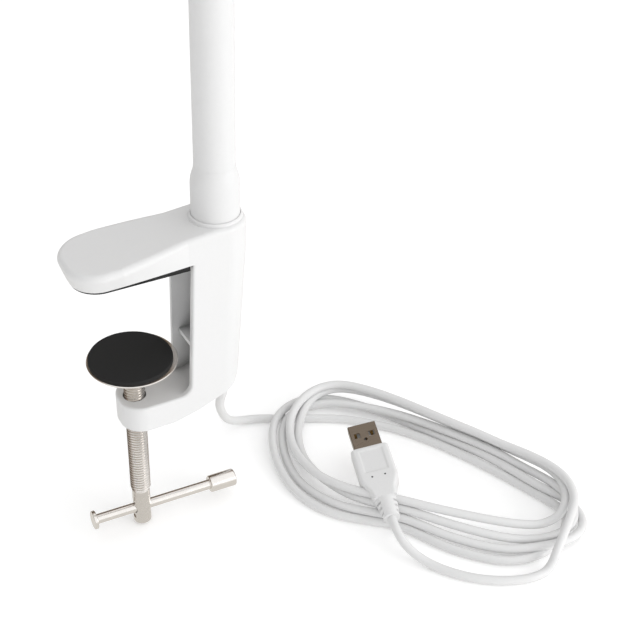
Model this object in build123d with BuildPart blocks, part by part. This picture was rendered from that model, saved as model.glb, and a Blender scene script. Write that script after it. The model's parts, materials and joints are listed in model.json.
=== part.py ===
from build123d import *
import os
from math import cos, pi, radians, sin, tan

# Clamp-on gooseneck desk lamp, in millimetres. The origin is on the clamp screw's axis, in the
# plane of the desk top that the upper jaw's pad rests on. +X points from the screw to the column,
# +Z is up, and the upper jaw points along -X, over the desk.

# ---- driving dimensions -------------------------------------------------------------------
floor_level = -121.5            # the surface that the free lead lies on

pad_thickness = 2.2             # black pad under the upper jaw, at the column
pad_tip_thickness = 0.8
jaw_tip = -20.8                 # upper jaw's tip, at its underside
jaw_half_width = 11.3
jaw_lean = 7.0                  # how far its sides lean out on the way up
jaw_tip_lean = 4.5
jaw_top = 13.3                  # top face at the column
jaw_tip_top = 8.2               # top face at the tip
collar_top = 14.4               # raised ring of the body around the neck
column_front = 20.6             # at the desk plane
column_front_low = 19.0         # at the lower jaw
column_back = 44.9
column_radius = 10.4            # of its round back
column_back_low = 40.6
column_half_width = 11.4
column_half_width_low = 9.6
column_wall = 2.3
channel_back = 30.5
lower_jaw_top = -56.5
lower_jaw_bottom = -67.4
lower_jaw_tip = -6.4
insert_radius = 5.2             # threaded bush that the screw runs in
rib_front = 22.2
rib_level = -38.9

neck_x = 34.5                   # neck axis
neck_radius = 7.35
boot_radius = 8.8
boot_top = 31.0

thread_radius = 3.95            # M8 x 1.25
shank_radius = 3.5
shank_bottom = -121.0
thread_bottom = -104.0
shoulder = -47.6
tilt_centre = -43.6             # centre of the ball that the pressure plate tilts on
plate_radius = 16.8
press_pad_radius = 15.6
press_pad_top = -38.5

bar_level = -113.7              # tommy bar axis
bar_angle = -2.0                # degrees, seen from above
bar_radius = 2.0
bar_right = 40.0
bar_left = 20.5
cap_length = 11.0
head_thickness = 1.5

cable_radius = 1.8
bend_radius = 105.0             # neck's rest curve
straight_top = 95.0             # where the neck's curve starts
curve_end = 271.0               # where it ends, measured along the neck from the desk plane
neck_end = 299.0
link_length = 40.0
first_hinge = 55.0
hinge_count = 6

os.makedirs("parts", exist_ok=True)


def save(part, name):
    part.label = name
    export_step(part, f"parts/{name}.step")


# ---- clamp body ---------------------------------------------------------------------------
# The top plate, from the jaw's tip to the round back of the column, with a sloping top. The
# jaw's sides lean out a little on the way up.
def plate_section(level, lean, tip_lean, tip_radius):
    tip = jaw_tip - tip_lean
    tip_width = jaw_half_width + lean
    with BuildSketch(Plane.XY.offset(level)) as section:
        with BuildLine():
            Polyline(
                (tip, tip_width),
                (-6, tip_width),
                (19, column_half_width),
                (column_back, column_half_width),
                (column_back, -column_half_width),
                (19, -column_half_width),
                (-6, -tip_width),
                (tip, -tip_width),
                close=True,
            )
        make_face()
        fillet(section.vertices().group_by(Axis.X)[0], tip_radius)
        fillet(section.vertices().group_by(Axis.X)[-1], column_radius)
    return section.sketch.face()


plate_bottom = plate_section(0, 0, 0, 9.6)
plate_top_face = plate_section(jaw_top + 1, jaw_lean, jaw_tip_lean, 14.5)

with BuildPart() as top_plate:
    loft(sections=[plate_bottom, plate_top_face])
    with BuildSketch(Plane.XZ):
        with BuildLine():
            Polyline(
                (jaw_tip - 5, pad_tip_thickness - 0.05),
                (column_front, pad_thickness),
                (column_back + 2, pad_thickness),
                (column_back + 2, jaw_top),
                (neck_x - 5, jaw_top),
                (jaw_tip - 5, jaw_tip_top),
                close=True,
            )
        make_face()
    extrude(amount=30, both=True, mode=Mode.INTERSECT)
    upper_faces = top_plate.faces().filter_by(lambda f: f.normal_at().Z > 0.5)
    fillet(upper_faces.edges() - top_plate.edges().filter_by(Axis.Y), 1.9)


# The column with the lower jaw, whose sides are flush with it, seen from above.
def frame_section(level, back, half_width, radius):
    with BuildSketch(Plane.XY.offset(level)) as section:
        with BuildLine():
            Polyline(
                (lower_jaw_tip, half_width),
                (back, half_width),
                (back, -half_width),
                (lower_jaw_tip, -half_width),
                close=True,
            )
        make_face()
        fillet(section.vertices().group_by(Axis.X)[0], 8.3)
        fillet(section.vertices().group_by(Axis.X)[-1], radius)
    return section.sketch.face()


def channel_section(level, half_width):
    with BuildSketch(Plane.XY.offset(level)) as section:
        with Locations((channel_back - 10, 0)):
            Rectangle(20, 2 * half_width)
    return section.sketch.face()


frame_top = frame_section(pad_thickness, column_back, column_half_width, column_radius)
frame_low = frame_section(-70, column_back_low, column_half_width_low, 8.8)
channel_top = channel_section(pad_thickness - 0.5, column_half_width - column_wall)
channel_low = channel_section(lower_jaw_top, column_half_width_low - column_wall + 0.3)

with BuildPart() as side_frame:
    loft(sections=[frame_low, frame_top])
    with BuildSketch(Plane.XZ) as side_profile:
        with BuildLine():
            Polyline(
                (lower_jaw_tip - 1, -72),
                (lower_jaw_tip - 1, lower_jaw_top),
                (column_front_low, lower_jaw_top),
                (column_front, pad_thickness),
                (column_back + 1, pad_thickness),
                (column_back + 1, -72),
                close=True,
            )
        make_face()
        fillet(side_profile.vertices().sort_by_distance((column_front_low, lower_jaw_top))[0], 4.6)
    extrude(amount=30, both=True, mode=Mode.INTERSECT)
    inner_faces = side_frame.faces().filter_by(
        lambda f: column_front + 1 > f.center().X and f.center().Z > lower_jaw_top - 1
        and abs(f.normal_at().Y) < 0.1)
    fillet(inner_faces.edges() - side_frame.edges().filter_by(Axis.Y), 0.9)

# The channel in the column's front, with a round foot that runs out into the lower jaw's top.
with BuildPart() as channel:
    loft(sections=[channel_low, channel_top])
    with BuildSketch(Plane.XZ) as foot_profile:
        with BuildLine():
            Polyline(
                (channel_back, lower_jaw_top),
                (channel_back - 20, lower_jaw_top),
                (channel_back - 20, pad_thickness),
                (channel_back, pad_thickness),
                close=True,
            )
        make_face()
        fillet(foot_profile.vertices().sort_by_distance((channel_back, lower_jaw_top))[0], 9)
    extrude(amount=30, both=True, mode=Mode.INTERSECT)

# What the body's underside leaves off, seen from the side.
with BuildPart() as under_cut:
    with BuildSketch(Plane.XZ) as under_profile:
        with BuildLine():
            Polyline(
                (-20, -72),
                (-20, -67.6),
                (-4, lower_jaw_bottom),
                (12, lower_jaw_bottom),
                (22, -64.8),
                (32, -60.6),
                (37.2, -58.2),
                (41.2, -52.5),
                (50, -50),
                (50, -72),
                close=True,
            )
        make_face()
        fillet(under_profile.vertices().sort_by_distance((35.5, -60))[:2], 2.5)
        fillet(under_profile.vertices().sort_by_distance((12, lower_jaw_bottom))[0], 12)
    extrude(amount=30, both=True)

exit_point = Vector(36.6, 0, -58.4)
exit_direction = Vector(0.12, 0.14, -0.98).normalized()
duct_x = neck_x + 0.6
duct_radius = 3.3
duct_top = 0.0
pocket_floor = -8.0
pocket_ceiling = 3.0
duct_bottom = -53.5

with BuildPart() as clamp_body:
    add(side_frame.part)
    add(channel.part, mode=Mode.SUBTRACT)
    # shelf rib across the channel
    with Locations((rib_front, 0, rib_level)):
        Box(channel_back - rib_front + 0.5, 2 * (column_half_width - column_wall) + 0.3, 1.8,
            align=(Align.MIN, Align.CENTER, Align.CENTER))
    add(top_plate.part)
    add(under_cut.part, mode=Mode.SUBTRACT)
    # raised ring around the neck
    with BuildSketch(Plane.XZ):
        with BuildLine():
            Polyline(
                (neck_x, jaw_top - 1),
                (neck_x + 10.0, jaw_top - 1),
                (neck_x + 9.5, collar_top - 0.4),
                (neck_x + 9.1, collar_top),
                (neck_x, collar_top),
                close=True,
            )
        make_face()
    revolve(axis=Axis((neck_x, 0, 0), (0, 0, 1)))
    # seat and hole for the neck's spigot, with the nut's pocket below it
    with Locations((neck_x, 0, jaw_top - 1.2)):
        Cylinder(boot_radius + 0.15, 10, align=(Align.CENTER, Align.CENTER, Align.MIN),
                 mode=Mode.SUBTRACT)
    with Locations((neck_x, 0, 0)):
        Cylinder(5.05, 40, align=(Align.CENTER, Align.CENTER, Align.MIN), mode=Mode.SUBTRACT)
    with Locations((neck_x, 0, pocket_floor)):
        Cylinder(8.6, pocket_ceiling - pocket_floor,
                 align=(Align.CENTER, Align.CENTER, Align.MIN), mode=Mode.SUBTRACT)
    with Locations((neck_x, 0, pocket_floor)):
        Box(neck_x - column_front + 2, 2 * 8.6, pocket_ceiling - pocket_floor,
            align=(Align.MAX, Align.CENTER, Align.MIN), mode=Mode.SUBTRACT)
    # duct for the lead, down the back of the column, and its way out
    with Locations((duct_x, 0, duct_bottom)):
        Cylinder(duct_radius, duct_top - duct_bottom,
                 align=(Align.CENTER, Align.CENTER, Align.MIN), mode=Mode.SUBTRACT)
    with BuildSketch(Plane(exit_point + exit_direction * 6, z_dir=-exit_direction)):
        Circle(2.9)
    extrude(amount=14, mode=Mode.SUBTRACT)
    with BuildSketch(Plane(exit_point + exit_direction * 6, z_dir=-exit_direction)):
        Circle(3.9)
    extrude(amount=9.5, mode=Mode.SUBTRACT)
    # bore for the threaded bush, pressed in from below, and the screw's clear hole
    with Locations((0, 0, lower_jaw_top - 2)):
        Cylinder(insert_radius + 0.05, 20, align=(Align.CENTER, Align.CENTER, Align.MAX),
                 mode=Mode.SUBTRACT)
    with Locations((0, 0, lower_jaw_top - 5)):
        Cylinder(4.35, 20, align=(Align.CENTER, Align.CENTER, Align.MIN), mode=Mode.SUBTRACT)
save(clamp_body.part, "clamp_body")

with BuildPart() as upper_jaw_pad:
    with BuildSketch() as pad_outline:
        with BuildLine():
            Polyline(
                (jaw_tip + 0.2, jaw_half_width - 0.2),
                (-6, jaw_half_width - 0.2),
                (19.6, column_half_width - 0.3),
                (19.6, 0.3 - column_half_width),
                (-6, 0.2 - jaw_half_width),
                (jaw_tip + 0.2, 0.2 - jaw_half_width),
                close=True,
            )
        make_face()
        fillet(pad_outline.vertices().group_by(Axis.X)[0], 9.5)
    extrude(amount=pad_thickness + 1)
    with BuildSketch(Plane.XZ):
        with BuildLine():
            Polyline(
                (jaw_tip - 5, 0),
                (column_front, 0),
                (column_front, pad_thickness),
                (jaw_tip - 5, pad_tip_thickness - 0.05),
                close=True,
            )
        make_face()
    extrude(amount=30, both=True, mode=Mode.INTERSECT)
save(upper_jaw_pad.part, "upper_jaw_pad")

with BuildPart() as thread_insert:
    with Locations((0, 0, lower_jaw_top - 2.05)):
        Cylinder(insert_radius, 8.6, align=(Align.CENTER, Align.CENTER, Align.MAX))
        Cylinder(thread_radius + 0.05, 8.6, align=(Align.CENTER, Align.CENTER, Align.MAX),
                 mode=Mode.SUBTRACT)
save(thread_insert.part, "thread_insert")

# ---- clamp screw, pressure plate and tommy bar --------------------------------------------
bar_direction = Vector(cos(radians(bar_angle)), sin(radians(bar_angle)), 0)


def bar_plane(distance):
    origin = Vector(0, 0, bar_level) + bar_direction * distance
    return Plane(origin, x_dir=(0, 0, 1), z_dir=bar_direction)


ball_radius = 3.2
stem_radius = 2.0

with BuildPart() as clamp_screw:
    with Locations((0, 0, shoulder)):
        Cylinder(thread_radius, shoulder - thread_bottom,
                 align=(Align.CENTER, Align.CENTER, Align.MAX))
    chamfer(clamp_screw.edges().filter_by(GeomType.CIRCLE), 0.5)
    with Locations((0, 0, shank_bottom)):
        Cylinder(shank_radius, thread_bottom - shank_bottom + 1,
                 align=(Align.CENTER, Align.CENTER, Align.MIN))
    chamfer(clamp_screw.edges().filter_by(GeomType.CIRCLE).sort_by(Axis.Z)[0], 0.7)
    # spot faces where the bar comes out, and its hole
    for side in (1, -1):
        with BuildSketch(bar_plane(side * 3.15)):
            Rectangle(9, 8)
        extrude(amount=side * 2, mode=Mode.SUBTRACT)
    with BuildSketch(bar_plane(-8)):
        Circle(bar_radius + 0.25)
    extrude(amount=16, mode=Mode.SUBTRACT)
    with Locations((0, 0, shoulder - 1)):
        Cylinder(stem_radius, tilt_centre - shoulder + 1,
                 align=(Align.CENTER, Align.CENTER, Align.MIN))
    with Locations((0, 0, tilt_centre)):
        Sphere(ball_radius)
save(clamp_screw.part, "clamp_screw")

with BuildPart() as swivel_washer:
    with BuildSketch(Plane.XY.offset(shoulder + 0.1)):
        Circle(3.8)
        Circle(stem_radius + 0.05, mode=Mode.SUBTRACT)
    extrude(amount=0.9)
save(swivel_washer.part, "swivel_washer")

plate_top = press_pad_top - 1.2
plate_thickness = 0.9

with BuildPart() as pressure_plate:
    with BuildSketch(Plane.XZ):
        with BuildLine():
            Polyline(
                (0, plate_top),
                (plate_radius - 0.2, plate_top),
                (plate_radius, plate_top - 0.2),
                (plate_radius, plate_top - plate_thickness + 0.5),
                (plate_radius - 0.5, plate_top - plate_thickness),
                (7.0, plate_top - plate_thickness),
                (5.4, plate_top - plate_thickness - 1.2),
                (5.2, tilt_centre - 1.6),
                (0, tilt_centre - 1.6),
                close=True,
            )
        make_face()
    revolve(axis=Axis.Z)
    with Locations((0, 0, tilt_centre)):
        Sphere(ball_radius + 0.1, mode=Mode.SUBTRACT)
save(pressure_plate.part, "pressure_plate")

with BuildPart() as pressure_pad:
    with BuildSketch(Plane.XY.offset(plate_top)):
        with Locations((-0.5, 0.3)):
            Circle(press_pad_radius)
    extrude(amount=press_pad_top - plate_top)
    fillet(pressure_pad.edges().group_by(Axis.Z)[-1], 0.4)
save(pressure_pad.part, "pressure_pad")

with BuildPart() as tommy_bar:
    with BuildSketch(bar_plane(head_thickness - bar_left - 0.5)):
        Circle(bar_radius)
    extrude(amount=bar_left + bar_right - head_thickness - 4)
    with BuildSketch(bar_plane(-bar_left)):
        Circle(3.75)
    extrude(amount=head_thickness)
    fillet(tommy_bar.edges().filter_by(GeomType.CIRCLE).filter_by(lambda e: e.radius > 3), 0.35)
save(tommy_bar.part, "tommy_bar")

with BuildPart() as bar_cap:
    with BuildSketch(bar_plane(bar_right - cap_length)):
        Circle(3.5)
    extrude(amount=cap_length)
    fillet(bar_cap.edges(), 0.6)
    with BuildSketch(bar_plane(bar_right - cap_length)):
        Circle(bar_radius + 0.02)
    extrude(amount=cap_length - 4 + 0.6, mode=Mode.SUBTRACT)
save(bar_cap.part, "bar_cap")

# ---- neck ---------------------------------------------------------------------------------
core_radius = 3.2
wire_hole_radius = 1.7
sleeve_inner = 6.35
neck_ball_radius = 4.6
cup_inner = 4.9
cup_outer = 6.2
sleeve_gap = 2.0                # from a hinge to the end of each sleeve beside it
seat_level = jaw_top - 1.2


def neck_angle(distance):
    return (min(max(distance, straight_top), curve_end) - straight_top) / bend_radius


def neck_tangent(distance):
    angle = neck_angle(distance)
    return Vector(-sin(angle), 0, cos(angle))


def neck_point(distance):
    angle = neck_angle(distance)
    height = min(distance, straight_top)
    bend = Vector(neck_x - bend_radius * (1 - cos(angle)), 0, height + bend_radius * sin(angle))
    return bend + neck_tangent(distance) * max(0, distance - curve_end)


def neck_plane(distance):
    return Plane(neck_point(distance), x_dir=(0, 1, 0), z_dir=neck_tangent(distance))


def neck_tube(start, end, outer, inner=0):
    """A round tube that follows the neck's centre line."""
    with BuildPart() as tube:
        with BuildLine():
            if end <= straight_top:
                Line(neck_point(start), neck_point(end))
            if end > straight_top:
                arc_end = min(end, curve_end)
                ThreePointArc(neck_point(start), neck_point((start + arc_end) / 2),
                              neck_point(arc_end))
            if end > curve_end:
                Line(neck_point(curve_end), neck_point(end))
        with BuildSketch(neck_plane(start)):
            Circle(outer)
            if inner:
                Circle(inner, mode=Mode.SUBTRACT)
        sweep()
    return tube.part


def neck_link(start, end, ball, cup):
    """One rigid length of the neck's core: a ball at its lower end, a cup at its upper end."""
    with BuildPart() as link:
        add(neck_tube(start, end - 5.4 if cup else end, core_radius))
        if ball:
            with Locations(neck_plane(start)):
                Sphere(neck_ball_radius)
        if cup:
            with Locations(neck_plane(end)):
                Sphere(cup_outer)
                Sphere(cup_inner, mode=Mode.SUBTRACT)
                Cylinder(cup_outer + 1, cup_outer + 1, mode=Mode.SUBTRACT,
                         align=(Align.CENTER, Align.CENTER, Align.MIN))
        with BuildSketch(neck_plane(start)):
            Circle(wire_hole_radius)
        extrude(amount=-8, mode=Mode.SUBTRACT)
        add(neck_tube(start, end - 4 if cup else end, wire_hole_radius), mode=Mode.SUBTRACT)
    return link.part


with BuildPart() as neck_spigot:
    with BuildSketch(Plane.XY.offset(-6.5)):
        with Locations((neck_x, 0)):
            Circle(5.0)
    extrude(amount=seat_level + 6.5)
    with BuildSketch(Plane.XY.offset(seat_level)):
        with Locations((neck_x, 0)):
            Circle(6.25)
    extrude(amount=1.6)
    with BuildSketch(Plane.XY.offset(seat_level)):
        with Locations((neck_x, 0)):
            Circle(4.7)
    extrude(amount=14)
    with BuildSketch(Plane.XY.offset(seat_level + 2)):
        with Locations((neck_x, 0)):
            Circle(core_radius + 0.02)
    extrude(amount=14, mode=Mode.SUBTRACT)
    with BuildSketch(Plane.XY.offset(-7)):
        with Locations((neck_x, 0)):
            Circle(2.4)
    extrude(amount=22, mode=Mode.SUBTRACT)
save(neck_spigot.part, "neck_spigot")

with BuildPart() as neck_washer:
    with BuildSketch(Plane.XY.offset(pocket_ceiling - 1.1)):
        with Locations((neck_x, 0)):
            Circle(8.2)
            Circle(5.05, mode=Mode.SUBTRACT)
    extrude(amount=1.05)
save(neck_washer.part, "neck_washer")

with BuildPart() as neck_nut:
    with BuildSketch(Plane.XY.offset(pocket_ceiling - 5.6)):
        with Locations((neck_x, 0)):
            RegularPolygon(8.0, 6)
            Circle(5.03, mode=Mode.SUBTRACT)
    extrude(amount=4.45)
save(neck_nut.part, "neck_nut")

with BuildPart() as neck_boot:
    with BuildSketch(Plane.XZ):
        with BuildLine():
            Polyline(
                (neck_x + neck_radius + 0.12, seat_level + 0.02),
                (neck_x + boot_radius, seat_level + 0.02),
                (neck_x + boot_radius - 0.3, boot_top - 2.5),
                (neck_x + boot_radius - 0.7, boot_top),
                (neck_x + neck_radius + 0.5, boot_top + 2.2),
                (neck_x + neck_radius + 0.12, boot_top + 2.4),
                close=True,
            )
        make_face()
    revolve(axis=Axis((neck_x, 0, 0), (0, 0, 1)))
save(neck_boot.part, "neck_boot")

starts = [seat_level + 2.0] + [first_hinge + link_length * i for i in range(hinge_count)]
ends = starts[1:] + [neck_end]
for number, (start, end) in enumerate(zip(starts, ends)):
    first = number == 0
    last = number == hinge_count
    save(neck_link(start, end, ball=not first, cup=not last), f"neck_link_{number}")
    sleeve_start = seat_level + 0.05 if first else start + sleeve_gap
    sleeve_end = end if last else end - sleeve_gap
    save(neck_tube(sleeve_start, sleeve_end, neck_radius, sleeve_inner), f"neck_sleeve_{number}")
    lead_start = start if first else start - 3.5
    lead_end = end if last else end - 5.0
    if not first:
        with BuildPart() as lead_length:
            with BuildSketch(neck_plane(start)):
                Circle(1.3)
            extrude(amount=-3.5)
            add(neck_tube(start, lead_end, 1.3))
        save(lead_length.part, f"neck_lead_{number}")
    else:
        save(neck_tube(lead_start, lead_end, 1.3), f"neck_lead_{number}")

# ---- lamp head ----------------------------------------------------------------------------
head_length = 146.0
head_half_width = 17.0
head_half_height = 5.5
head_start = 6.2
head_wall = 1.7
head_angle = neck_angle(neck_end)
head_plane = Plane(
    neck_point(neck_end),
    x_dir=neck_tangent(neck_end),
    z_dir=(cos(head_angle), 0, sin(head_angle)),
)
head_mid = head_start + head_length / 2
ceiling = head_half_height - head_wall
button_x = 24.0
nose_radius = 2.7
screw_places = [(52, 10.5), (52, -10.5), (138, 8.2), (138, -8.2)]


def head_level(height):
    return head_plane.offset(height)


def head_block(length, width, middle, low, high, radius=0):
    """A flat block in the head, from its length, width and the two levels it lies between."""
    with BuildPart() as block:
        with BuildSketch(head_level(low)):
            with Locations((middle, 0)):
                if radius:
                    RectangleRounded(length, width, radius)
                else:
                    Rectangle(length, width)
        extrude(amount=high - low)
    return block.part


with BuildPart() as head_shell:
    add(head_block(head_length, 2 * head_half_width, head_mid, -head_half_height,
                   head_half_height, 14))
    fillet(head_shell.faces().sort_by(Axis(head_plane.origin, head_plane.z_dir))[-1].edges(), 3.2)
    add(head_block(head_length - 2 * head_wall, 2 * (head_half_width - head_wall), head_mid,
                   -head_half_height - 1, ceiling, 14 - head_wall), mode=Mode.SUBTRACT)
    with BuildSketch(Plane(head_plane.origin, x_dir=head_plane.y_dir, z_dir=head_plane.x_dir)):
        Circle(nose_radius + 0.05)
    extrude(amount=20, mode=Mode.SUBTRACT)
    with BuildSketch(head_level(0)):
        with Locations((button_x, 0)):
            Circle(4.4)
    extrude(amount=20, mode=Mode.SUBTRACT)
    with BuildSketch(head_level(1.85)):
        with Locations(*screw_places):
            Circle(2.6)
            Circle(1.15, mode=Mode.SUBTRACT)
    extrude(amount=ceiling - 1.85 + 0.3)
save(head_shell.part, "head_shell")

with BuildPart() as head_ferrule:
    with BuildSketch(head_plane * Plane.XZ):
        with BuildLine():
            Polyline(
                (-14, neck_radius + 0.12),
                (-14, neck_radius + 0.7),
                (-12, 8.5),
                (3, 8.5),
                (head_start - 0.1, 7.2),
                (head_start - 0.1, nose_radius),
                (head_start + 7.5, nose_radius),
                (head_start + 7.5, 1.5),
                (0.1, 1.5),
                (0.1, neck_radius + 0.12),
                close=True,
            )
        make_face()
    revolve(axis=Axis(head_plane.origin, head_plane.x_dir))
save(head_ferrule.part, "head_ferrule")

with BuildPart() as head_nut:
    with BuildSketch(Plane(head_plane.origin + head_plane.x_dir * (head_start + head_wall + 0.05),
                           x_dir=head_plane.y_dir, z_dir=head_plane.x_dir)):
        Rectangle(8.6, 6.8)
        Circle(nose_radius + 0.02, mode=Mode.SUBTRACT)
    extrude(amount=3)
save(head_nut.part, "head_nut")

with BuildPart() as head_spreader:
    add(head_block(102, 27, 94, 0.6, 1.8, 3))
    with BuildSketch(head_level(0)):
        with Locations(*screw_places):
            Circle(1.3)
    extrude(amount=5, mode=Mode.SUBTRACT)
save(head_spreader.part, "head_spreader")

save(head_block(96, 11, 94, -0.45, 0.55), "led_board")

with BuildPart() as led_chips:
    with BuildSketch(head_level(-0.5)):
        with Locations((94, 0)):
            with GridLocations(6.6, 1, 14, 1):
                Rectangle(2.8, 2.8)
    extrude(amount=-0.7)
save(led_chips.part, "led_chips")

save(head_block(head_length - 2 * head_wall - 0.4, 2 * (head_half_width - head_wall) - 0.4,
                head_mid, -head_half_height + 0.3, -head_half_height + 1.9, 12), "head_diffuser")

with BuildPart() as head_screws:
    with BuildSketch(head_level(0.5)):
        with Locations(*screw_places):
            Circle(2.2)
    extrude(amount=-1.2)
    with BuildSketch(head_level(0.5)):
        with Locations(*screw_places):
            Circle(1.1)
    extrude(amount=2.6)
save(head_screws.part, "head_screws")

save(head_block(24, 18, 28, -2.6, -1.4), "driver_board")
save(head_block(6, 6, button_x, -1.35, 1.1), "button_switch")

with BuildPart() as button_cap:
    with BuildSketch(head_level(2.2)):
        with Locations((button_x, 0)):
            Circle(5.2)
    extrude(amount=1.3)
    with BuildSketch(head_level(2.2)):
        with Locations((button_x, 0)):
            Circle(4.15)
    extrude(amount=4.4)
    top_edge = button_cap.edges().sort_by(Axis(head_plane.origin, head_plane.z_dir))[-1]
    fillet(top_edge, 0.7)
save(button_cap.part, "button_cap")

with BuildPart() as head_lead:
    with BuildSketch(Plane(head_plane.origin + head_plane.x_dir * 0.2,
                           x_dir=head_plane.y_dir, z_dir=head_plane.x_dir)):
        Circle(1.3)
    extrude(amount=17)
save(head_lead.part, "head_lead")

# ---- lead: route, coil and tail -----------------------------------------------------------
def cord_tube(points, report):
    """A tube of straight runs and tangent arcs along a route, each arc as large as fits."""
    route = [Vector(*p) for p in points]
    radii = []
    for before, here, after in zip(route, route[1:], route[2:]):
        shorter = min((here - before).length, (after - here).length)
        half_turn = radians((here - before).get_angle(after - here)) / 2
        radii.append(0.45 * shorter / tan(half_turn))
    with BuildPart() as tube:
        with BuildLine() as path:
            FilletPolyline(*route, radius=radii)
        with BuildSketch(Plane(route[0], z_dir=route[1] - route[0])):
            Circle(cable_radius)
        sweep()
    length = sum(edge.length for edge in path.edges())
    expected = pi * cable_radius ** 2 * length
    print(report, "length", round(length, 1), "volume ratio", round(tube.part.volume / expected, 4),
          "radii", [round(r, 1) for r in radii])
    return tube.part


bush_depth = 3.4
with BuildPart() as cord_bush:
    with BuildSketch(Plane(exit_point - exit_direction * (bush_depth - 0.05),
                           z_dir=exit_direction)):
        Circle(3.85)
        Circle(cable_radius + 0.05, mode=Mode.SUBTRACT)
    extrude(amount=6.8, taper=6)
save(cord_bush.part, "cord_bush")

lead_start = exit_point
lead_route = [
    tuple(lead_start),
    tuple(exit_point + exit_direction * 9.5),
    (38.9, 6.0, -77.2),
    (41.6, 11.9, -86.2),
    (45.9, 19.0, -96.0),
    (50.8, 25.2, -106.0),
    (56.3, 29.6, -114.2),
    (62.3, 31.8, -119.0),
    (67.4, 31.2, -119.7),
    (72.0, 29.6, -119.7),
    (76.2, 27.9, -119.7),
]
save(cord_tube(lead_route, "cable_lead"), "cable_lead")

inner_route = [
    (neck_x, 0, -7.2),
    (neck_x + 0.1, 0, -15),
    (neck_x - 0.1, 0, -28),
    (neck_x, -0.4, -41),
    tuple(exit_point - exit_direction * 7.5),
    tuple(exit_point),
]
save(cord_tube(inner_route, "inner_lead"), "inner_lead")

coil_centre = Vector(112, -31, floor_level)
coil_heading = -52.0
coil_height = 4.8
coil_plane = Plane(coil_centre, x_dir=(cos(radians(coil_heading)), sin(radians(coil_heading)), 0),
                   z_dir=(0, 0, 1))
with BuildPart() as cable_coil:
    with BuildSketch(coil_plane):
        with BuildLine():
            Spline((-70, 8), (-65, -13), (-46, -32), (-15, -36.5), (8, -30), (36, -30.5), (56, -26.5),
                   (70, -13), (66, 16), (45, 31), (4, 37.5), (-34, 43.5), (-56, 41.5), (-67, 26),
                   periodic=True)
        make_face()
        with BuildLine():
            Spline((-52, 4), (-42, -12), (-16, -18), (14, -16), (44, -9), (53, 0), (44, 9),
                   (14, 14), (-8, 19), (-36, 21), (-50, 16), periodic=True)
        make_face(mode=Mode.SUBTRACT)
    extrude(amount=coil_height)
save(cable_coil.part, "cable_coil")

relief_end = Vector(84.8, -53.0, floor_level + 9.4)
plug_tip = Vector(98.0, -5.5, floor_level + 15.0)
plug_axis = (plug_tip - relief_end).normalized()
plug_roll = radians(10)
plug_level = Vector(0, 0, 1).cross(plug_axis).normalized()
plug_across = plug_level * cos(plug_roll) - plug_axis.cross(plug_level) * sin(plug_roll)
plug_up = plug_axis.cross(plug_across)
plug_plane = Plane(relief_end, x_dir=plug_axis, z_dir=plug_up)
relief_length = 8.6
plug_body_front = 35.8
plug_length = (plug_tip - relief_end).length
shell_width = 12.0
shell_height = 4.5
shell_wall = 0.32

tail_route = [
    tuple(relief_end),
    tuple(relief_end - plug_axis * 7),
    (84.4, -67.2, -116.7),
    (88.9, -74.6, -119.4),
    (94.4, -82.6, -119.7),
    (101.9, -90.2, -119.7),
    (111.8, -96.4, -119.7),
    (121.6, -99.4, -119.7),
    (129.8, -98.8, -119.7),
    (135.4, -95.6, -119.7),
]
save(cord_tube(tail_route, "cable_tail"), "cable_tail")


def across_plug(distance):
    return Plane(relief_end + plug_axis * distance, x_dir=plug_across, z_dir=plug_axis)


with BuildPart() as plug_relief:
    with BuildSketch(across_plug(0)):
        Ellipse(3.3, 3.0)
    with BuildSketch(across_plug(relief_length + 0.6)):
        Ellipse(4.6, 3.7)
    loft()
    for slot_number in range(3):
        for side in (1, -1):
            with Locations(plug_plane.location * Location((1.9 + 2.5 * slot_number, side * 4.1, 0))):
                Box(1.0, 3.0, 9, mode=Mode.SUBTRACT)
save(plug_relief.part, "plug_relief")

with BuildPart() as plug_body:
    with BuildSketch(plug_plane.offset(-4)):
        with BuildLine():
            Polyline(
                (relief_length + 0.7, 4.9),
                (relief_length + 4.8, 5.6),
                (relief_length + 10.0, 8.0),
                (plug_body_front, 8.0),
                (plug_body_front, -8.0),
                (relief_length + 10.0, -8.0),
                (relief_length + 4.8, -5.6),
                (relief_length + 0.7, -4.9),
                close=True,
            )
        make_face()
    extrude(amount=8)
    fillet(plug_body.edges().filter_by(lambda e: abs(e.tangent_at(0.5).dot(plug_up)) < 0.5), 1.3)
    with BuildSketch(across_plug(plug_body_front - 2)):
        Rectangle(shell_width + 0.06, shell_height + 0.06)
    extrude(amount=4, mode=Mode.SUBTRACT)
save(plug_body.part, "plug_body")

with BuildPart() as plug_shell:
    with BuildSketch(across_plug(plug_body_front - 1.95)):
        RectangleRounded(shell_width, shell_height, 0.45)
        RectangleRounded(shell_width - 2 * shell_wall, shell_height - 2 * shell_wall, 0.2,
                         mode=Mode.SUBTRACT)
    extrude(amount=plug_length - plug_body_front + 1.95)
    for side in (1, -1):
        with Locations(plug_plane.location * Location((plug_body_front + 7.9, side * 3.1, 0))):
            Box(2.6, 2.5, 9, mode=Mode.SUBTRACT)
    with Locations(plug_plane.location * Location((plug_body_front + 5.3, 0, shell_height / 2))):
        Cylinder(0.8, 1.4, mode=Mode.SUBTRACT)
save(plug_shell.part, "plug_shell")

with BuildPart() as plug_tongue:
    with BuildSketch(across_plug(plug_body_front - 1.9)):
        with Locations((0, -0.95)):
            Rectangle(shell_width - 2 * shell_wall - 0.1, 1.85)
    extrude(amount=plug_length - plug_body_front + 1.4)
save(plug_tongue.part, "plug_tongue")

with BuildPart() as plug_contacts:
    with BuildSketch(across_plug(plug_body_front)):
        for place in (-3.5, -1.0, 1.0, 3.5):
            with Locations((place, 0.075)):
                Rectangle(1.1, 0.15)
    extrude(amount=12.4)
save(plug_contacts.part, "plug_contacts")
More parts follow.
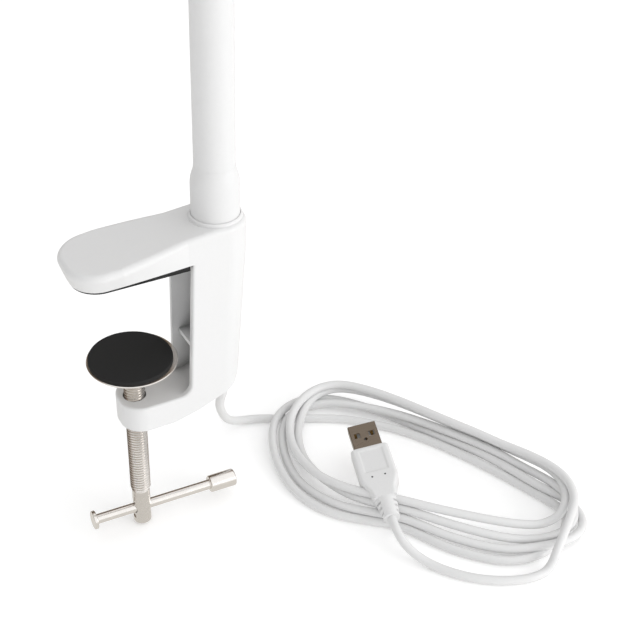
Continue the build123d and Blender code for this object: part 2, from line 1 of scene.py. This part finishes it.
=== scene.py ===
import bpy
import bmesh
import json
from math import ceil, cos, floor, hypot, pi, radians, sin, sqrt, tau
from mathutils import Matrix, Vector


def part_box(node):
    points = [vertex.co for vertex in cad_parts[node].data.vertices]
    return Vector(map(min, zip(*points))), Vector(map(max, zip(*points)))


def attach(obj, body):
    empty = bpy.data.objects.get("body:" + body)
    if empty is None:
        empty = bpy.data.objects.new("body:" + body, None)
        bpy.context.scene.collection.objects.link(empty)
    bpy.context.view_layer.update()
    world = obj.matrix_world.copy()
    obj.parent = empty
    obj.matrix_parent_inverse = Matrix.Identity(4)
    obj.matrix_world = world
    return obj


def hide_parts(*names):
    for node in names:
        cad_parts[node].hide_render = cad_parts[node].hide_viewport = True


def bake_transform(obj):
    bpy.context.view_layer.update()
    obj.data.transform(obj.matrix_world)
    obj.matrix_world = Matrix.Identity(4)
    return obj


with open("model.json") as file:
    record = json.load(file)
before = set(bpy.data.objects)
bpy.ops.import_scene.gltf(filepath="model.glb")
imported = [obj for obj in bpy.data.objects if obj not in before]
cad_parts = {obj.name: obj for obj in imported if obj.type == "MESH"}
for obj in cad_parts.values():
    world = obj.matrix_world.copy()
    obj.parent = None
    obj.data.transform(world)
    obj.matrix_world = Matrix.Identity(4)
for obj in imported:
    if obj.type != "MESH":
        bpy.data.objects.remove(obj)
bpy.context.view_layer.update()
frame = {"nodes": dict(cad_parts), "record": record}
scene = bpy.context.scene
MM = 0.001

# ---- sizes and places, in millimetres as in the part -----------------------------------------
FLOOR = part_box("cable_coil")[0][2] / MM
NECK_X = 34.5
NECK_RADIUS = 7.35
NECK_INNER = 6.95
NECK_STRAIGHT = 95.0               # the neck's curve starts here, measured from the desk plane
NECK_CURVE_END = 271.0
NECK_BEND = 105.0                  # radius of its curve
NECK_END = 299.0
FIRST_HINGE = 55.0
HINGE_STEP = 40.0
HINGES = 6
SEAT = 12.1                        # where the boot stands in the clamp body
BOOT_RADIUS = 8.8
BOOT_TOP = 31.0
SHOULDER_START = 5.0               # the boot's shoulder starts this far below its top
SHOULDER_LENGTH = 7.6

THREAD_CREST = 3.95                # M8 x 1.25
THREAD_ROOT = 3.3
THREAD_PITCH = 1.25
THREAD_LOW = -103.9
THREAD_HIGH = -47.7
CORE_REACH = 3.6                   # shank points beyond this radius are turned down
CORE_RADIUS = 3.0
THREAD_FADE = 3.1                  # the thread's ends run out to this radius

CABLE_RADIUS = 1.8
EXIT = Vector((36.6, 0.0, -58.4))
EXIT_DIRECTION = Vector((0.12, 0.14, -0.98)).normalized()
RELIEF_END = Vector((84.8, -53.0, FLOOR + 9.4))
PLUG_TIP = Vector((98.0, -5.5, FLOOR + 15.0))
PLUG_AXIS = (PLUG_TIP - RELIEF_END).normalized()
PLUG_ROLL = radians(10)
PLUG_LEVEL = Vector((0, 0, 1)).cross(PLUG_AXIS).normalized()
PLUG_ACROSS = PLUG_LEVEL * cos(PLUG_ROLL) - PLUG_AXIS.cross(PLUG_LEVEL) * sin(PLUG_ROLL)
PLUG_UP = PLUG_AXIS.cross(PLUG_ACROSS)

# ---- camera ----------------------------------------------------------------------------------
LENS = 73.1                        # on a 36 mm sensor
SENSOR = 36.0
CAMERA_HEIGHT = 375.6              # above the floor
PITCH = radians(36.0)              # below the horizon
ROLL = radians(2.24)
AZIMUTH = radians(-30.0)
CAMERA_X = -128.65
CAMERA_Y = -359.43


def make_camera():
    data = bpy.data.cameras.new("camera")
    data.lens = LENS
    data.sensor_width = SENSOR
    data.clip_start = 0.01
    camera = bpy.data.objects.new("camera", data)
    scene.collection.objects.link(camera)
    place = Matrix.Translation(Vector((CAMERA_X, CAMERA_Y, FLOOR + CAMERA_HEIGHT)) * MM)
    turn = Matrix.Rotation(AZIMUTH, 4, "Z")
    tilt = Matrix.Rotation(pi / 2 - PITCH, 4, "X")
    camera.matrix_world = place @ turn @ tilt @ Matrix.Rotation(ROLL, 4, "Z")
    scene.camera = camera


# ---- helpers ---------------------------------------------------------------------------------
def new_piece(name, data, material, body, replaces=()):
    piece = bpy.data.objects.new(name, data)
    scene.collection.objects.link(piece)
    data.materials.append(material)
    if body:
        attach(piece, body)
    if replaces:
        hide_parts(*replaces)
    return piece


def shade(mesh, sharp_angle=40):
    mesh.shade_smooth()
    mesh.set_sharp_from_angle(angle=radians(sharp_angle))


def mesh_of_rings(name, rings, closed_loop=False):
    """A tube of rings, each a list of points in millimetres with the same count. Its ends are
    capped, or joined to each other in a closed loop."""
    mesh = bpy.data.meshes.new(name)
    count = len(rings[0])
    points = [p * MM for ring in rings for p in ring]
    faces = []
    last = len(rings) if closed_loop else len(rings) - 1
    for i in range(last):
        near = i * count
        far = (i + 1) % len(rings) * count
        for j in range(count):
            k = (j + 1) % count
            faces.append((near + j, near + k, far + k, far + j))
    if not closed_loop:
        faces.append(tuple(reversed(range(count))))
        faces.append(tuple(range(len(points) - count, len(points))))
    mesh.from_pydata(points, [], faces)
    mesh.validate()
    return mesh


def outward(mesh):
    """Turns every face of a closed mesh outward."""
    work = bmesh.new()
    work.from_mesh(mesh)
    bmesh.ops.recalc_face_normals(work, faces=work.faces)
    work.to_mesh(mesh)
    work.free()
    return mesh


def lathe(name, profile, centre, steps=96):
    """A closed profile of (radius, height) turned about an upright axis."""
    rings = []
    for i in range(steps):
        angle = tau * i / steps
        rings.append([centre + Vector((r * cos(angle), r * sin(angle), h)) for r, h in profile])
    return outward(mesh_of_rings(name, rings, closed_loop=True))


# ---- materials -------------------------------------------------------------------------------
NOISE_DETAIL = 6.0
FINE_DETAIL = 2.0
FINE_RATIO = 4                     # how much finer the bump is than the drift of the colour
# Painted shade: these set how a piece's colour is darkened in its own deep corners.
CORNER_REACH = 0.012               # in metres, how far around a point its corner is looked at
CORNER_DEEP = 0.35                 # share of open sky in the deepest corner, and in the open
CORNER_OPEN = 0.70


def surface(name, colours, roughness, grain, bump=0.0, metallic=0.0, stretch=(1, 1, 1), shadow=0.0,
            **sockets):
    """Colour and roughness drift between two values each over a noise of grain cells per metre,
    with a fine bump, in metres, of the same noise at four times the density. A shadow above 0
    paints shade: it takes that share of the colour away in the piece's own deep corners."""
    material = bpy.data.materials.new(name)
    material.use_nodes = True
    nodes = material.node_tree.nodes
    link = material.node_tree.links.new
    shader = nodes["Principled BSDF"]
    where = nodes.new("ShaderNodeTexCoord")
    mapping = nodes.new("ShaderNodeMapping")
    mapping.inputs["Scale"].default_value = stretch
    link(where.outputs["Object"], mapping.inputs["Vector"])
    drift = nodes.new("ShaderNodeTexNoise")
    drift.inputs["Scale"].default_value = grain
    drift.inputs["Detail"].default_value = NOISE_DETAIL
    link(mapping.outputs["Vector"], drift.inputs["Vector"])
    mix = nodes.new("ShaderNodeMix")
    mix.data_type = "RGBA"
    mix.inputs[6].default_value = (*colours[0], 1)
    mix.inputs[7].default_value = (*colours[1], 1)
    link(drift.outputs["Fac"], mix.inputs[0])
    colour = mix.outputs[2]
    # Painted shade: the colour is darkened where the piece's own corners hide the open sky.
    if shadow:
        depth = nodes.new("ShaderNodeAmbientOcclusion")
        depth.only_local = True
        depth.samples = 8
        depth.inputs["Distance"].default_value = CORNER_REACH
        painted_shade_share = nodes.new("ShaderNodeMapRange")
        painted_shade_share.inputs["From Min"].default_value = CORNER_DEEP
        painted_shade_share.inputs["From Max"].default_value = CORNER_OPEN
        painted_shade_share.inputs["To Min"].default_value = 1 - shadow
        painted_shade_share.inputs["To Max"].default_value = 1.0
        link(depth.outputs["AO"], painted_shade_share.inputs["Value"])
        darker = nodes.new("ShaderNodeVectorMath")
        darker.operation = "SCALE"
        link(colour, darker.inputs[0])
        link(painted_shade_share.outputs["Result"], darker.inputs["Scale"])
        colour = darker.outputs[0]
    link(colour, shader.inputs["Base Color"])
    spread = nodes.new("ShaderNodeMapRange")
    spread.inputs["From Min"].default_value = 0.3
    spread.inputs["From Max"].default_value = 0.7
    spread.inputs["To Min"].default_value = roughness[0]
    spread.inputs["To Max"].default_value = roughness[1]
    link(drift.outputs["Fac"], spread.inputs["Value"])
    link(spread.outputs["Result"], shader.inputs["Roughness"])
    if bump:
        fine = nodes.new("ShaderNodeTexNoise")
        fine.inputs["Scale"].default_value = grain * FINE_RATIO
        fine.inputs["Detail"].default_value = FINE_DETAIL
        link(mapping.outputs["Vector"], fine.inputs["Vector"])
        relief = nodes.new("ShaderNodeBump")
        relief.inputs["Distance"].default_value = bump
        relief.inputs["Strength"].default_value = 1.0
        link(fine.outputs["Fac"], relief.inputs["Height"])
        link(relief.outputs["Normal"], shader.inputs["Normal"])
    shader.inputs["Metallic"].default_value = metallic
    for socket, value in sockets.items():
        shader.inputs[socket.replace("_", " ")].default_value = value
    return material


def grey(low, high=None, warm=0.0):
    """Two near greys, as linear colours, with a share of warmth taken off their blue."""
    high = high or low
    return tuple((value, value * (1 - warm / 2), value * (1 - warm)) for value in (low, high))


MATERIALS = {
    # The body's white carries painted shade: it is darker in the body's own deep corners.
    "body_white": surface("moulded_white", grey(0.71, 0.735), (0.34, 0.44), 900, bump=0.000006,
                          shadow=0.66, Specular_IOR_Level=0.42),
    "sleeve_white": surface("soft_white_sleeve", grey(0.69, 0.715), (0.46, 0.56), 700, bump=0.000008,
                            Sheen_Weight=0.15, Sheen_Roughness=0.5),
    "soft_black": surface("black_foam", grey(0.012, 0.026), (0.80, 0.95), 1600, bump=0.00003,
                          Specular_IOR_Level=0.3),
    "nickel": surface("bright_nickel", grey(0.80, 0.88, 0.07), (0.18, 0.26), 300, bump=0.0000015,
                      metallic=1.0),
    "steel": surface("rolled_steel", grey(0.70, 0.80, 0.08), (0.20, 0.30), 500, bump=0.000002,
                     metallic=1.0),
    "cable_white": surface("white_vinyl", grey(0.70, 0.735), (0.34, 0.44), 800, bump=0.000005,
                           Specular_IOR_Level=0.45),
    "plug_white": surface("plug_vinyl", grey(0.70, 0.735), (0.36, 0.48), 1400, bump=0.000008),
    "plug_steel": surface("brushed_shell", grey(0.24, 0.31, 0.32), (0.26, 0.40), 260, bump=0.000003,
                          metallic=0.9, stretch=(1, 6, 1)),
    "insulator": surface("contact_carrier", grey(0.55, 0.62), (0.4, 0.5), 900, bump=0.000004),
    "contact_gold": surface("contact_gold", ((0.78, 0.55, 0.22), (0.86, 0.63, 0.28)), (0.2, 0.3),
                            900, metallic=1.0, bump=0.000002),
    "head_white": surface("head_moulding", grey(0.71, 0.735), (0.30, 0.40), 900, bump=0.000006),
    "head_metal": surface("spun_aluminium", grey(0.62, 0.72), (0.24, 0.34), 400, bump=0.000003,
                          metallic=1.0),
    "board": surface("board_lacquer", ((0.02, 0.12, 0.05), (0.03, 0.17, 0.07)), (0.3, 0.4), 900,
                     bump=0.000004),
    "led_yellow": surface("phosphor", ((0.85, 0.62, 0.10), (0.92, 0.72, 0.16)), (0.5, 0.6), 900,
                          bump=0.000004),
    "diffuser": surface("opal_diffuser", grey(0.82, 0.86), (0.46, 0.56), 700, bump=0.000004,
                        Transmission_Weight=0.25, Subsurface_Weight=0.2, Subsurface_Scale=0.002),
    "button_grey": surface("button_grey", grey(0.30, 0.34), (0.40, 0.50), 1200, bump=0.000008),
    "switch_black": surface("switch_black", grey(0.02, 0.03), (0.35, 0.45), 900, bump=0.000004),
}


# In millimetres.
BEVELS = {"clamp_body": 0.5, "upper_jaw_pad": 0.25, "pressure_plate": 0.25, "pressure_pad": 0.3,
          "tommy_bar": 0.3, "bar_cap": 0.4, "plug_shell": 0.08, "plug_relief": 0.25}


def dress_cad_nodes():
    """Gives every CAD node the material of its slot, and those in BEVELS a small bevel on sharp
    edges.
    """
    for entry in frame["record"]["subparts"]:
        for place in frame["nodes"][entry["node"]].material_slots:
            place.material = MATERIALS[entry["material_slot"]]
    for name, width in BEVELS.items():
        bevel = frame["nodes"][name].modifiers.new("bevel", "BEVEL")
        bevel.width = width * MM
        bevel.segments = 3
        bevel.limit_method = "ANGLE"
        bevel.angle_limit = radians(35)
        bevel.harden_normals = True


# ---- clamp screw -----------------------------------------------------------------------------
def make_screw():
    """The CAD screw with its thread cut: its plain shank turned down, inside a helical mesh."""
    mesh = frame["nodes"]["clamp_screw"].data.copy()
    for vertex in mesh.vertices:
        reach = hypot(vertex.co.x, vertex.co.y)
        threaded = THREAD_LOW - 0.3 < vertex.co.z / MM < THREAD_HIGH + 0.3
        if threaded and reach > CORE_REACH * MM:
            vertex.co.x *= CORE_RADIUS * MM / reach
            vertex.co.y *= CORE_RADIUS * MM / reach
    mesh.materials.clear()
    core = new_piece("screw_shank", mesh, MATERIALS["steel"], "screw", ["clamp_screw"])
    shade(core.data, 30)

    around = 72
    # (share of the pitch, radius)
    profile = [(0.0, THREAD_CREST), (0.12, THREAD_CREST), (0.46, THREAD_ROOT), (0.58, THREAD_ROOT),
               (0.92, THREAD_CREST)]
    turns = ceil((THREAD_HIGH - THREAD_LOW) / THREAD_PITCH) + 2
    points = []
    rows = []
    for turn in range(turns):
        for part, radius in profile:
            row = []
            for i in range(around + 1):
                height = THREAD_LOW - THREAD_PITCH + (turn + part + i / around) * THREAD_PITCH
                low_fade = (height - THREAD_LOW) / THREAD_PITCH
                high_fade = (THREAD_HIGH - height) / THREAD_PITCH
                fade = min(1.0, max(0.0, min(low_fade, high_fade)))
                reach = THREAD_FADE + (radius - THREAD_FADE) * fade ** 0.5
                angle = tau * i / around
                level = min(max(height, THREAD_LOW), THREAD_HIGH)
                row.append(len(points))
                points.append(Vector((reach * cos(angle), reach * sin(angle), level)) * MM)
            rows.append(row)
    faces = []
    for lower, upper in zip(rows, rows[1:]):
        for i in range(around):
            faces.append((lower[i], lower[i + 1], upper[i + 1], upper[i]))
    mesh = bpy.data.meshes.new("screw_thread")
    mesh.from_pydata(points, [], faces)
    work = bmesh.new()
    work.from_mesh(mesh)
    bmesh.ops.remove_doubles(work, verts=work.verts, dist=0.00001)
    bmesh.ops.dissolve_degenerate(work, edges=work.edges, dist=0.00001)
    bmesh.ops.holes_fill(work, edges=[e for e in work.edges if e.is_boundary], sides=0)
    bmesh.ops.recalc_face_normals(work, faces=work.faces)
    work.to_mesh(mesh)
    work.free()
    thread = new_piece("screw_thread", mesh, MATERIALS["steel"], "screw")
    shade(thread.data, 25)


# ---- neck ------------------------------------------------------------------------------------
def neck_place(distance):
    """Centre and direction of the neck, measured along it from the desk plane."""
    on_curve = min(max(distance - NECK_STRAIGHT, 0.0), NECK_CURVE_END - NECK_STRAIGHT)
    angle = on_curve / NECK_BEND
    direction = Vector((-sin(angle), 0, cos(angle)))
    before = min(distance, NECK_STRAIGHT)
    beyond = max(distance - NECK_CURVE_END, 0.0)
    place = Vector((NECK_X - NECK_BEND * (1 - cos(angle)), 0, before + NECK_BEND * sin(angle)))
    return place + direction * beyond, direction


def neck_cover(number, start, end, hinge, replaced):
    """A length of the neck's soft sleeve around one hinge of the core."""
    around = 56
    count = round((end - start) / 1.6)
    outer = []
    inner = []
    for i in range(count + 1):
        place, direction = neck_place(start + (end - start) * i / count)
        across = Vector((0, 1, 0))
        side = across.cross(direction)
        circle = [side * cos(tau * j / around) + across * sin(tau * j / around)
                  for j in range(around)]
        outer.append([place + out * NECK_RADIUS for out in circle])
        inner.append([place + out * NECK_INNER for out in circle])
    mesh = outward(mesh_of_rings(f"neck_cover_{number}", outer + inner[::-1], closed_loop=True))
    piece = new_piece(f"neck_cover_{number}", mesh, MATERIALS["sleeve_white"], None,
                      replaced)
    shade(piece.data, 40)
    place, direction = neck_place(hinge)
    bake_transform(piece)


def make_neck():
    for i in range(HINGES):
        hinge = FIRST_HINGE + HINGE_STEP * i
        start = SEAT + 1 if i == 0 else hinge - HINGE_STEP / 2
        end = NECK_END - 0.5 if i == HINGES - 1 else hinge + HINGE_STEP / 2
        replaced = [f"neck_sleeve_{i}"]
        if i == HINGES - 1:
            replaced.append(f"neck_sleeve_{HINGES}")
        neck_cover(i, start, end, hinge, replaced)


def make_boot():
    """The moulded boot at the foot of the neck, with a soft shoulder."""
    height = BOOT_TOP - SEAT
    shoulder = height - SHOULDER_START
    profile = [(NECK_RADIUS + 0.02, 0.05), (BOOT_RADIUS, 0.05), (BOOT_RADIUS - 0.05, shoulder)]
    steps = 14
    for step in range(1, steps + 1):
        t = step / steps
        share = (1 + cos(pi * t ** 1.2)) / 2
        profile.append((NECK_RADIUS + 0.03 + (BOOT_RADIUS - NECK_RADIUS - 0.08) * share,
                        shoulder + SHOULDER_LENGTH * t))
    mesh = lathe("boot", profile, Vector((NECK_X, 0, SEAT)))
    boot = new_piece("boot", mesh, MATERIALS["sleeve_white"], "root", ["neck_boot"])
    shade(boot.data, 60)


# ---- cable -----------------------------------------------------------------------------------
LEAD_ROUTE = [
    EXIT,
    EXIT + EXIT_DIRECTION * 9.5,
    Vector((37.7, 6.0, -77.2)),
    Vector((40.2, 11.9, -86.2)),
    Vector((44.4, 19.2, -96.0)),
    Vector((49.0, 26.2, -106.0)),
    Vector((54.0, 31.8, -114.2)),
    Vector((60.0, 35.0, -119.0)),
    Vector((66.8, 34.0, -119.7)),
    Vector((72.4, 31.4, -119.7)),
    Vector((76.6, 29.2, -119.7)),
]
TAIL_ROUTE = [
    RELIEF_END,
    RELIEF_END - PLUG_AXIS * 7,
    Vector((84.4, -67.2, -116.7)),
    Vector((88.9, -74.6, -119.4)),
    Vector((94.4, -82.6, -119.7)),
    Vector((101.9, -90.2, -119.7)),
    Vector((111.8, -96.4, -119.7)),
    Vector((121.6, -99.4, -119.7)),
    Vector((129.8, -98.8, -119.7)),
    Vector((135.4, -95.6, -119.7)),
]
COIL_CENTRE = Vector((112.0, -31.0, FLOOR + CABLE_RADIUS))
COIL_HEADING = radians(-52.0)
# Where the innermost and outermost strands run, at stations going round the coil from its
# back left: (along, across) in the coil's own directions.
INNER_STRAND = [(-45, 21), (-20, 25), (4, 23), (26, 18), (45, 12), (57, 6), (60, -2), (54, -10),
                (42, -17), (22, -21.5), (2, -24.5), (-20, -24.5), (-40, -17.5), (-53, -4.5),
                (-58.5, 8), (-56, 17)]
OUTER_STRAND = [(-51, 37.5), (-24, 37), (4, 32), (28, 29.7), (50, 26), (64, 16), (71, 0),
                (66.9, -16), (48, -31), (22, -33.5), (3, -30), (-24, -35.8), (-47, -28.5),
                (-63.5, -10), (-69, 8), (-65, 26)]
# Each turn's lane, from the inner strand (0) to the outer (1), at every second station.
LANES = [
    (0.0, 0.0, 0.03, 0.35, 1.0, 0.98, 0.98, 1.0),
    (0.72, 0.40, 0.14, 0.97, 0.66, 0.70, 0.62, 0.62),
    (0.42, 0.55, 0.42, 0.60, 0.34, 0.36, 0.05, 0.0),
    (0.93, 0.82, 0.68, 0.10, 0.0, 0.10, 0.30, 0.36),
    (0.82, 0.58, 0.55, 0.50),
]
STEPS_PER_STATION = 2
LAST_STATION = 4 * len(INNER_STRAND) + 6
NOT_ITSELF = 6                     # a point is never laid on the few points just before it
SETTLE = 0.97                      # share of a full diameter by which strands rise over others
EASE = (0.25, 0.12)                # how a hump falls off before its top, and its curve
FALL = 0.9                         # how far the cable sinks at most from point to point


def smooth_value(values, position):
    """A value on the smooth curve through evenly spaced values, which go round."""
    count = len(values)
    low = floor(position)
    t = position - low
    a, b, c, d = (values[(low + k) % count] for k in (-1, 0, 1, 2))
    return b + 0.5 * t * (c - a + t * (2 * a - 5 * b + 4 * c - d + t * (3 * (b - c) + d - a)))


def lane_at(station):
    """The cable's lane at a station, eased between the given ones."""
    lanes = [lane for turn in LANES for lane in turn]
    position = min(station / 2, len(lanes) - 1)
    low = min(floor(position), len(lanes) - 2)
    t = position - low
    t = t * t * (3 - 2 * t)
    return lanes[low] * (1 - t) + lanes[low + 1] * t


def coil_points():
    """The coil's turns, flat, in order from the lead to the tail."""
    along = Vector((cos(COIL_HEADING), sin(COIL_HEADING), 0))
    across = Vector((-sin(COIL_HEADING), cos(COIL_HEADING), 0))
    points = []
    for step in range(LAST_STATION * STEPS_PER_STATION + 1):
        station = step / STEPS_PER_STATION
        lane = lane_at(station)
        inner = [smooth_value([p[k] for p in INNER_STRAND], station) for k in (0, 1)]
        outer = [smooth_value([p[k] for p in OUTER_STRAND], station) for k in (0, 1)]
        u, w = (a + (b - a) * lane for a, b in zip(inner, outer))
        points.append(COIL_CENTRE + along * u + across * w)
    return points


def lay_down(points, fixed_start, fixed_end):
    """Lays a cable on the floor and over itself: a later point that comes within a diameter of an
    earlier stretch rests on it, and the cable between is a long low hump."""
    diameter = 2 * CABLE_RADIUS
    rest = FLOOR + CABLE_RADIUS
    heights = [p.z for p in points]
    for i in range(fixed_start, len(points) - fixed_end):
        need = rest
        for j in range(i - NOT_ITSELF):
            a = points[j]
            b = points[j + 1]
            line = (b - a).to_2d()
            share = (points[i] - a).to_2d().dot(line) / max(line.length_squared, 1e-9)
            share = min(max(share, 0.0), 1.0)
            gap = (points[i].to_2d() - a.to_2d() - line * share).length
            if gap < diameter:
                under = heights[j] * (1 - share) + heights[j + 1] * share
                need = max(need, under + sqrt(diameter ** 2 - gap ** 2) * SETTLE)
        heights[i] = need
        for back in range(1, 8):
            k = i - back
            if k < fixed_start:
                break
            eased = heights[i] - EASE[1] * back * back - EASE[0] * back
            heights[k] = max(heights[k], eased)
        if i > fixed_start:
            heights[i] = max(heights[i], heights[i - 1] - FALL)
    for point, height in zip(points, heights):
        point.z = height
    return points


def make_cable():
    route = [p.copy() for p in LEAD_ROUTE]
    tail = [p.copy() for p in reversed(TAIL_ROUTE)]
    points = lay_down(route + coil_points() + tail, len(LEAD_ROUTE), len(TAIL_ROUTE) - 1)
    data = bpy.data.curves.new("cable", "CURVE")
    data.dimensions = "3D"
    data.resolution_u = 6
    data.bevel_depth = CABLE_RADIUS * MM
    data.bevel_resolution = 6
    data.use_fill_caps = True
    spline = data.splines.new("NURBS")
    spline.points.add(len(points) - 1)
    for knot, point in zip(spline.points, points):
        knot.co = (*(point * MM), 1)
    spline.order_u = 3
    spline.use_endpoint_u = True
    cable = new_piece("cable", data, MATERIALS["cable_white"], "root",
                      ["cable_lead", "cable_coil", "cable_tail"])


# ---- plug ------------------------------------------------------------------------------------
# The grip: (distance along the plug, half width, half thickness).
PLUG_STATIONS = [(9.2, 4.9, 3.7), (13.4, 5.6, 3.9), (18.0, 7.7, 4.0), (19.2, 8.0, 4.0),
                 (35.2, 8.0, 4.0), (35.8, 7.5, 3.6)]
PANEL = (21.9, 34.0, 5.2)          # start, end and half width of the shallow panel on its top
PANEL_DEPTH = 0.35
PANEL_EDGE = 0.6
PLUG_CORNER = 1.5
DOT_PLACE = 19.4                   # two small marks below the panel
DOT_SIDE = 2.7
DOT_RADIUS = 0.4


def plug_point(along, across, up):
    """A place in the plug's own directions, from the end of its strain relief."""
    return RELIEF_END + PLUG_AXIS * along + PLUG_ACROSS * across + PLUG_UP * up


def plug_size(along):
    """Half width and half thickness of the plug's grip."""
    for (a, w0, t0), (b, w1, t1) in zip(PLUG_STATIONS, PLUG_STATIONS[1:]):
        if along <= b:
            share = (along - a) / (b - a)
            return w0 + (w1 - w0) * share, t0 + (t1 - t0) * share
    return PLUG_STATIONS[-1][1:]


def panel_depth(along, across):
    """How deep the panel is there."""
    inside = min(along - PANEL[0], PANEL[1] - along, PANEL[2] - abs(across))
    share = min(max(inside / PANEL_EDGE, 0.0), 1.0)
    return PANEL_DEPTH * share * share * (3 - 2 * share)


def make_plug():
    """The plug's moulded grip, with rounded corners and a shallow panel on its upper side."""
    start = PLUG_STATIONS[0][0]
    end = PLUG_STATIONS[-1][0]
    count = 90
    flat = 40
    arc = 6
    rings = []
    for i in range(count + 1):
        along = start + (end - start) * i / count
        width, thick = plug_size(along)
        ring = []
        for side, turn in ((1, 0), (-1, 90), (-1, 180), (1, 270)):
            centre_y = (width - PLUG_CORNER) * side
            centre_z = (thick - PLUG_CORNER) * (1 if turn < 180 else -1)
            for j in range(arc + 1):
                angle = radians(turn + 90 * j / arc)
                ring.append((centre_y + PLUG_CORNER * cos(angle),
                             centre_z + PLUG_CORNER * sin(angle)))
            if turn in (0, 180):
                for j in range(1, flat):
                    across = centre_y * (1 - 2 * j / flat)
                    level = thick - panel_depth(along, across) if turn == 0 else -thick
                    ring.append((across, level))
        rings.append([plug_point(along, y, z) for y, z in ring])
    mesh = outward(mesh_of_rings("plug_grip", rings))
    grip = new_piece("plug_grip", mesh, MATERIALS["plug_white"], "root",
                     ["plug_body"])
    shade(grip.data, 40)
    for number, across in enumerate((-DOT_SIDE, DOT_SIDE)):
        ring_low = []
        ring_high = []
        for j in range(16):
            angle = tau * j / 16
            place = (DOT_PLACE + DOT_RADIUS * cos(angle), across + DOT_RADIUS * sin(angle))
            level = plug_size(place[0])[1]
            ring_low.append(plug_point(*place, level - 0.2))
            ring_high.append(plug_point(*place, level + 0.02))
        mesh = outward(mesh_of_rings(f"plug_dot_{number}", [ring_low, ring_high]))
        new_piece(f"plug_dot_{number}", mesh, MATERIALS["switch_black"], "root")


# ---- floor and light -------------------------------------------------------------------------
WORLD_LIGHT = 0.97
MIRRORED_LIGHT = (0.05, -0.61, 0.9)    # towards the bright side that metal reflects
SIDE_FALL = 0.35                   # how much darker the studio's left is, and brighter its right
KEY_POWER = 2.6
KEY_SIZE = 0.6
KEY_PLACE = (0.62, -0.80, 0.18)
KEY_TARGET = (0.03, 0, -0.05)
FLOOR_SIZE = 3.0
FLOOR_MIRRORED = (0.76, 0.74, 0.70, 1)      # what metal reflects of the floor
FLOOR_GLOW = 0.13                  # the lit studio sweep, a little brighter than its paint


def make_floor():
    """The white sweep that everything stands on. Metal reflects it a little darker and warmer."""
    mesh = bpy.data.meshes.new("floor")
    size = FLOOR_SIZE
    level = (FLOOR - 0.05) * MM
    mesh.from_pydata([(-size, -size, level), (size, -size, level), (size, size, level),
                      (-size, size, level)], [], [(0, 1, 2, 3)])
    floor_piece = bpy.data.objects.new("floor", mesh)
    scene.collection.objects.link(floor_piece)
    material = surface("studio_floor", grey(0.955, 0.965), (0.7, 0.8), 40)
    shader = material.node_tree.nodes["Principled BSDF"]
    shader.inputs["Emission Color"].default_value = (1, 1, 1, 1)
    shader.inputs["Emission Strength"].default_value = FLOOR_GLOW
    nodes = material.node_tree.nodes
    link = material.node_tree.links.new
    mirrored = nodes.new("ShaderNodeEmission")
    mirrored.inputs["Color"].default_value = FLOOR_MIRRORED
    path = nodes.new("ShaderNodeLightPath")
    blend = nodes.new("ShaderNodeMixShader")
    link(path.outputs["Is Glossy Ray"], blend.inputs["Fac"])
    link(shader.outputs["BSDF"], blend.inputs[1])
    link(mirrored.outputs["Emission"], blend.inputs[2])
    link(blend.outputs["Shader"], nodes["Material Output"].inputs["Surface"])
    mesh.materials.append(material)


def make_world():
    """A white studio. Metal reflects its warm, darker walls below the bright ceiling."""
    world = bpy.data.worlds.new("studio")
    scene.world = world
    world.use_nodes = True
    nodes = world.node_tree.nodes
    link = world.node_tree.links.new
    walls = nodes["Background"]
    walls.inputs["Color"].default_value = (1, 1, 1, 1)
    where = nodes.new("ShaderNodeTexCoord")
    side = nodes.new("ShaderNodeVectorMath")
    side.operation = "DOT_PRODUCT"
    side.inputs[1].default_value = (cos(AZIMUTH) * SIDE_FALL, sin(AZIMUTH) * SIDE_FALL, 0)
    link(where.outputs["Generated"], side.inputs[0])
    strength = nodes.new("ShaderNodeMath")
    strength.operation = "MULTIPLY_ADD"
    strength.inputs[1].default_value = WORLD_LIGHT
    strength.inputs[2].default_value = WORLD_LIGHT
    link(side.outputs["Value"], strength.inputs[0])
    link(strength.outputs["Value"], walls.inputs["Strength"])
    height = nodes.new("ShaderNodeVectorMath")
    height.operation = "DOT_PRODUCT"
    height.inputs[1].default_value = MIRRORED_LIGHT
    link(where.outputs["Generated"], height.inputs[0])
    ramp = nodes.new("ShaderNodeValToRGB")
    stops = ramp.color_ramp.elements
    stops[0].position = 0.0
    stops[0].color = (0.10, 0.070, 0.048, 1)
    stops[1].position = 0.62
    stops[1].color = (1, 1, 1, 1)
    middle = stops.new(0.30)
    middle.color = (0.26, 0.20, 0.15, 1)
    link(height.outputs["Value"], ramp.inputs["Fac"])
    mirrored = nodes.new("ShaderNodeBackground")
    mirrored.inputs["Strength"].default_value = 1.1
    link(ramp.outputs["Color"], mirrored.inputs["Color"])
    path = nodes.new("ShaderNodeLightPath")
    blend = nodes.new("ShaderNodeMixShader")
    link(path.outputs["Is Glossy Ray"], blend.inputs["Fac"])
    link(walls.outputs["Background"], blend.inputs[1])
    link(mirrored.outputs["Background"], blend.inputs[2])
    link(blend.outputs["Shader"], nodes["World Output"].inputs["Surface"])


def make_light():
    scene.view_settings.view_transform = "Standard"
    scene.view_settings.look = "None"
    make_world()
    data = bpy.data.lights.new("key", "AREA")
    data.shape = "DISK"
    data.size = KEY_SIZE
    data.energy = KEY_POWER
    key = bpy.data.objects.new("key", data)
    scene.collection.objects.link(key)
    key.location = KEY_PLACE
    key.rotation_euler = (Vector(KEY_TARGET) - Vector(KEY_PLACE)).to_track_quat("-Z", "Y").to_euler()


make_camera()
make_plug()
make_cable()
dress_cad_nodes()
make_screw()
make_neck()
make_boot()
make_floor()
make_light()
